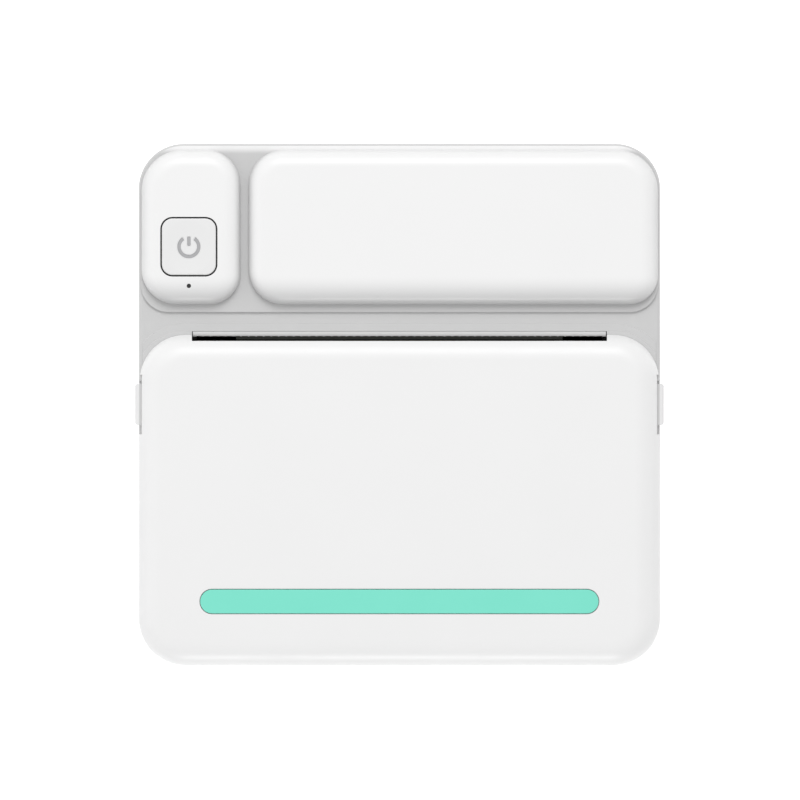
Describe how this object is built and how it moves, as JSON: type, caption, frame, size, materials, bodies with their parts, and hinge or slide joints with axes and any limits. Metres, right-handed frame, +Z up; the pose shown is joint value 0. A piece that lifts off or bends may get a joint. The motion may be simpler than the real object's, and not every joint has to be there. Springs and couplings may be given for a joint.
{
  "type": "portable thermal printer",
  "caption": "Square pocket thermal printer with a hinged paper cover, raised pods, a round-cornered power button and a mint inlay strip.",
  "frame": {"origin": "middle of the footprint, on the surface that the rubber feet stand on", "axes": "+Z up through the paper cover, +Y towards the button end, +X to the right of someone who faces the cover with the pods at the far end"},
  "size_m": [0.0842, 0.083, 0.041],
  "materials": {
    "case_white": "satin white moulded plastic",
    "cover_white": "smooth white moulded plastic",
    "pod_white": "smooth white moulded plastic",
    "button_white": "fine matte white plastic",
    "mint_strip": "mint coloured plastic inlay",
    "tear_edge": "satin pale plastic with moulded teeth",
    "foot_rubber": "grey rubber",
    "screw_steel": "zinc plated steel",
    "bin_plastic": "white inner plastic",
    "frame_black": "black glass filled plastic",
    "shaft_steel": "ground steel",
    "roller_rubber": "dark ground rubber",
    "gear_plastic": "natural acetal",
    "bushing_plastic": "dark acetal",
    "pinion_brass": "turned brass",
    "heat_sink": "extruded aluminium",
    "head_ceramic": "glazed ceramic",
    "spring_steel": "spring steel",
    "ribbon_film": "amber film",
    "motor_can": "plated steel can",
    "board_green": "green solder mask",
    "chip_black": "moulded chip body",
    "shield_can": "tinned steel can",
    "socket_steel": "plated steel",
    "switch_plastic": "black plastic",
    "light_lens": "dark smoked plastic",
    "light_body": "light emitter body",
    "socket_plastic": "cream nylon",
    "battery_foil": "silver pouch foil",
    "pad_foam": "black foam",
    "lead_sleeve": "black sleeve",
    "sensor_black": "black plastic"
  },
  "bodies": {
    "base": {"bottom_case": "case_white", "front_frame": "case_white", "pod_panel": "pod_white", "tear_bar": "tear_edge", "rubber_feet": "foot_rubber", "case_screws": "screw_steel", "paper_bin": "bin_plastic", "mechanism_frame": "frame_black", "mechanism_screws": "screw_steel", "gear_axles": "shaft_steel", "motor_body": "motor_can", "motor_screws": "screw_steel", "head_pivot_pin": "shaft_steel", "head_springs": "spring_steel", "head_ribbon": "ribbon_film", "paper_sensor": "sensor_black", "main_board": "board_green", "board_screws": "screw_steel", "board_chips": "chip_black", "wireless_module": "shield_can", "usb_socket": "socket_steel", "switch_base": "switch_plastic", "status_light": "light_body", "light_pipe": "light_lens", "ribbon_socket": "socket_plastic", "lead_sockets": "socket_plastic", "battery": "battery_foil", "battery_pad": "pad_foam", "battery_lead": "lead_sleeve", "motor_lead": "lead_sleeve"},
    "cover": {"cover_shell": "cover_white", "cover_liner": "case_white", "accent_strip": "mint_strip", "cover_screws": "screw_steel", "hinge_pins": "shaft_steel", "platen_bushings": "bushing_plastic"},
    "platen": {"platen_shaft": "shaft_steel", "platen_rubber": "roller_rubber", "platen_gear": "gear_plastic", "platen_clip": "spring_steel"},
    "print_head": {"head_heatsink": "heat_sink", "head_substrate": "head_ceramic"},
    "motor_rotor": {"motor_shaft": "shaft_steel", "motor_pinion": "pinion_brass"},
    "first_reduction": {"first_gear": "gear_plastic"},
    "second_reduction": {"second_gear": "gear_plastic"},
    "button": {"power_button": "button_white", "switch_plunger": "switch_plastic"}
  },
  "joints": [
    {"name": "cover_hinge", "type": "hinge", "parent": "base", "child": "cover", "pos_m": [0, -0.038, 0.0255], "axis": [1, 0, 0], "range_deg": [0, 95]},
    {"name": "platen_spin", "type": "hinge", "parent": "cover", "child": "platen", "pos_m": [0, 0.0057, 0.031], "axis": [1, 0, 0], "continuous": true},
    {"name": "second_gear_spin", "type": "hinge", "parent": "base", "child": "second_reduction", "pos_m": [0, 0.00655, 0.02421], "axis": [1, 0, 0], "continuous": true},
    {"name": "first_gear_spin", "type": "hinge", "parent": "base", "child": "first_reduction", "pos_m": [0, 0.00816, 0.01511], "axis": [1, 0, 0], "continuous": true},
    {"name": "motor_spin", "type": "hinge", "parent": "base", "child": "motor_rotor", "pos_m": [0, 0.01765, 0.01344], "axis": [1, 0, 0], "continuous": true},
    {"name": "head_tilt", "type": "hinge", "parent": "base", "child": "print_head", "pos_m": [0, 0.01218, 0.0262], "axis": [-1, 0, 0], "range_deg": [0, 2], "stiffness_Nm_per_rad": 0.08, "springref_deg": -2.86},
    {"name": "button_press", "type": "slide", "parent": "base", "child": "button", "axis": [0, 0, -1], "range_m": [0, 0.0005], "stiffness_N_per_m": 800, "springref_m": -0.0002}
  ],
  "couplings": [
    {"joint": "second_gear_spin", "follows": "platen_spin", "ratio": -1.4286},
    {"joint": "first_gear_spin", "follows": "platen_spin", "ratio": 3.2653},
    {"joint": "motor_spin", "follows": "platen_spin", "ratio": -9.7959}
  ]
}
